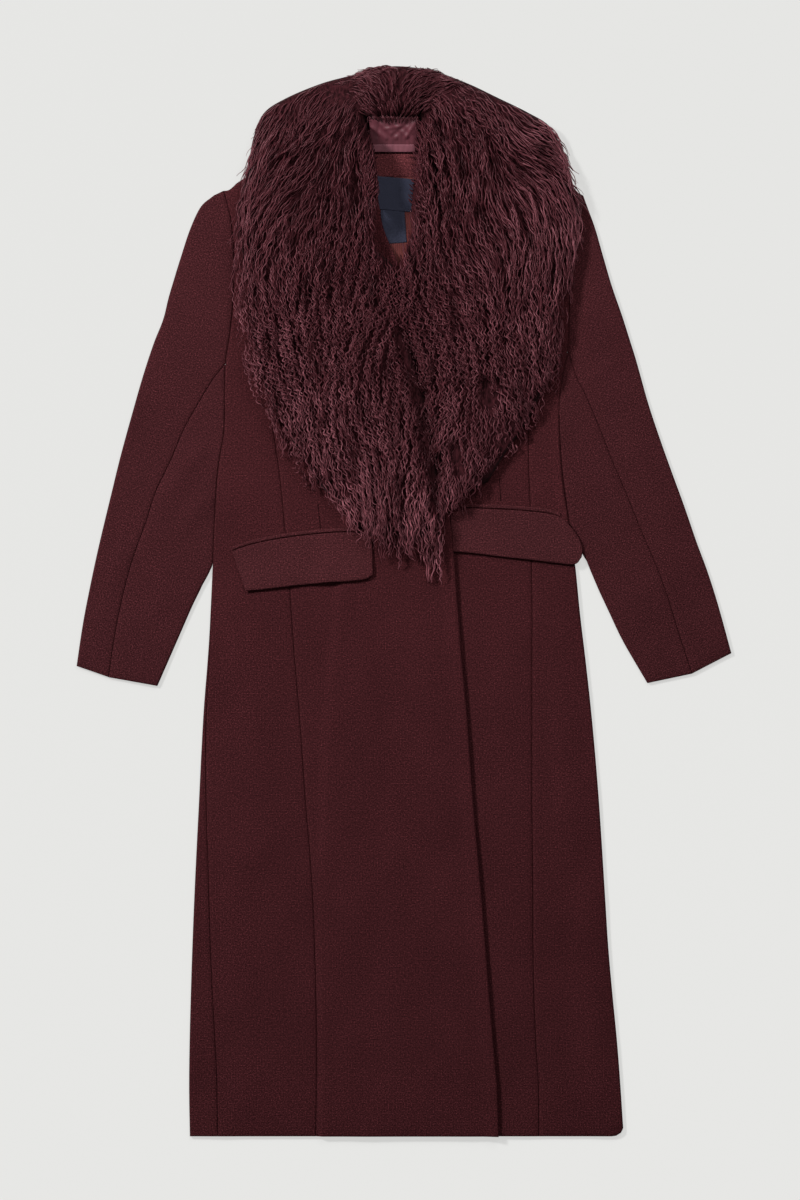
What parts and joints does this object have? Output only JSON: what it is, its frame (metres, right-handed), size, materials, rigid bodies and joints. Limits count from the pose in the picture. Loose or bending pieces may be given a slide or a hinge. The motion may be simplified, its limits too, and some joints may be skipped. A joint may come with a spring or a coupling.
{
  "type": "midi coat",
  "caption": "Double-breasted wool midi coat with a shaggy fur collar and lapels, flap pockets and long sleeves, laid flat on its back.",
  "frame": {"origin": "middle of the coat's width and length, on the surface that its back lies on", "axes": "+X to the wearer's left, +Y from the hem to the collar, +Z from the back to the front"},
  "size_m": [0.818, 1.3395, 0.0477],
  "materials": {
    "wool": "melange wool coating, short nap",
    "fur": "curly long-haired fur",
    "satin": "satin, soft gloss",
    "facing": "melange wool coating, short nap",
    "lining": "ribbed lining, slight gloss",
    "label": "woven label, bare"
  },
  "bodies": {
    "root": {"back": "wool", "front_right_side": "wool", "front_right_centre": "wool", "front_left_side": "wool", "front_left_centre": "wool", "sleeve_right_top": "wool", "sleeve_right_under": "wool", "sleeve_left_top": "wool", "sleeve_left_under": "wool", "pocket_flap_right": "wool", "pocket_flap_left": "wool", "pocket_welt_right": "wool", "pocket_welt_left": "wool", "fur_lapel_right": "fur", "fur_lapel_left": "fur", "fur_collar_back": "fur", "collar_stand": "wool", "collar_lining": "satin", "hanger_loop": "satin", "neck_facing": "facing", "back_lining": "lining", "label_main": "label", "label_size": "label"}
  },
  "joints": []
}
